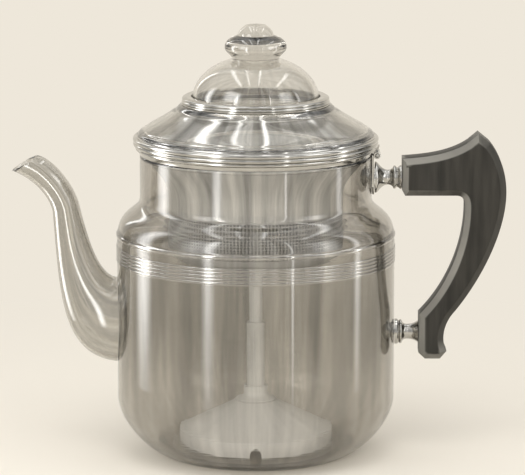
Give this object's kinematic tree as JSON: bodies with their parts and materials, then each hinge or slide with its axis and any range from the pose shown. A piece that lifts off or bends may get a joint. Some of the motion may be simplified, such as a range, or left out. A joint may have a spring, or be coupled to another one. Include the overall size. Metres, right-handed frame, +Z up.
{
  "type": "coffee percolator",
  "caption": "Stove-top coffee percolator with see-through pot, swan-neck spout, hinged lid with glass dome, dark side grip, and a lift-out pump stem, basket and spreader inside.",
  "frame": {"origin": "middle of the pot's flat foot, on the pot's axis, where it stands", "axes": "+Z up along the pot's axis, -X towards the spout, +X towards the grip, +Y away from the viewer of the picture"},
  "size_m": [0.2555, 0.1448, 0.2251],
  "materials": {
    "pot_glass": "clear with a faint smoke tint",
    "lid_glass": "clear with a faint smoke tint",
    "dome_glass": "clear moulded",
    "polished_metal": "polished",
    "fastener_metal": "satin",
    "basket_metal": "satin with fine drawn streaks",
    "pump_metal": "polished",
    "grip_wood": "black stain under semi-gloss lacquer",
    "seal_rubber": "matt",
    "insert_brass": "turned"
  },
  "bodies": {
    "pot": {"pot_body": "pot_glass", "spout": "pot_glass", "upper_socket": "polished_metal", "lower_socket": "polished_metal", "upper_bolt": "fastener_metal", "lower_bolt": "fastener_metal", "upper_washer": "seal_rubber", "lower_washer": "seal_rubber", "upper_insert": "insert_brass", "lower_insert": "insert_brass", "grip": "grip_wood", "hinge_bracket": "polished_metal", "hinge_pin": "fastener_metal"},
    "lid": {"lid_rim": "polished_metal", "lid_cover": "lid_glass", "glass_dome": "dome_glass", "dome_gasket": "seal_rubber", "dome_collar": "polished_metal", "hinge_leaf": "polished_metal"},
    "basket": {"basket": "basket_metal", "basket_chimney": "basket_metal"},
    "spreader": {"spreader": "basket_metal"},
    "pump": {"pump_base": "pump_metal", "pump_collar": "pump_metal", "stem_sleeve": "pump_metal", "stem_tube": "pump_metal"}
  },
  "joints": [
    {"name": "lid_hinge", "type": "hinge", "parent": "pot", "child": "lid", "pos_m": [0.0626, 0, 0.1578], "axis": [0, 1, 0], "range_deg": [0, 105]},
    {"name": "basket_lift", "type": "slide", "parent": "pot", "child": "basket", "axis": [0, 0, 1], "range_m": [0, 0.009]},
    {"name": "spreader_lift", "type": "slide", "parent": "basket", "child": "spreader", "axis": [0, 0, 1], "range_m": [0, 0.02]},
    {"name": "pump_lift", "type": "slide", "parent": "pot", "child": "pump", "axis": [0, 0, 1], "range_m": [0, 0.03]}
  ]
}
